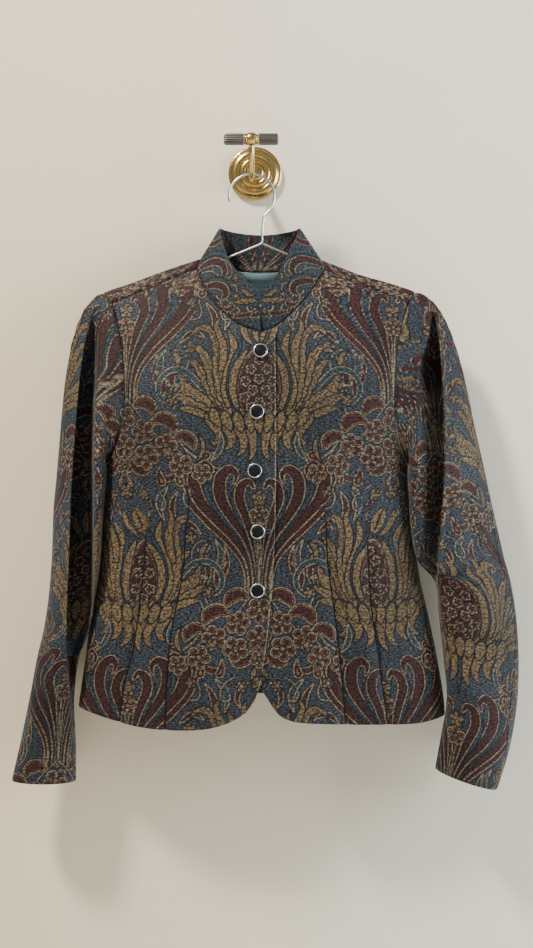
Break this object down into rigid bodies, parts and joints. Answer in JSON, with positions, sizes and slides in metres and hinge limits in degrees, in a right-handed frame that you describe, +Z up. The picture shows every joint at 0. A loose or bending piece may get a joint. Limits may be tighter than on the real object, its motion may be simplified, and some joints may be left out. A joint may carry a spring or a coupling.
{
  "type": "brocade jacket on a wire hanger and wall hook",
  "caption": "Fitted stand-collar brocade jacket, buttoned down the front, hanging open-sleeved on a bent wire hanger from a brass wall hook with a cross bar.",
  "frame": {"origin": "middle of the hook plate's back face, on the wall", "axes": "+X is the viewer's right, +Y goes into the wall, +Z is up"},
  "size_m": [0.6435, 0.1238, 0.8269],
  "materials": {
    "brocade": "matte figured weave with a soft sheen",
    "lining": "plain satin",
    "button_black": "polished, low dome",
    "button_rim": "polished rim",
    "hanger_steel": "bright plated wire",
    "hook_brass": "polished, turned steps",
    "hook_bronze": "dark bronze, finely ribbed"
  },
  "bodies": {
    "root": {"front_right": "brocade", "front_left": "brocade", "back": "brocade", "collar": "brocade", "sleeve_right_upper_cuff": "brocade", "sleeve_right_upper_arm": "brocade", "sleeve_right_upper_cap": "brocade", "sleeve_right_under_cuff": "brocade", "sleeve_right_under_arm": "brocade", "sleeve_right_under_cap": "brocade", "sleeve_left_upper_cuff": "brocade", "sleeve_left_upper_arm": "brocade", "sleeve_left_upper_cap": "brocade", "sleeve_left_under_cuff": "brocade", "sleeve_left_under_arm": "brocade", "sleeve_left_under_cap": "brocade", "lining_back": "lining", "button_1": "button_black", "rim_1": "button_rim", "button_2": "button_black", "rim_2": "button_rim", "button_3": "button_black", "rim_3": "button_rim", "button_4": "button_black", "rim_4": "button_rim", "button_5": "button_black", "rim_5": "button_rim", "hanger_wire": "hanger_steel", "hook_plate": "hook_brass", "hook_arm": "hook_brass", "hook_knob": "hook_brass", "hook_bar_right": "hook_bronze", "hook_bar_left": "hook_bronze"}
  },
  "joints": []
}
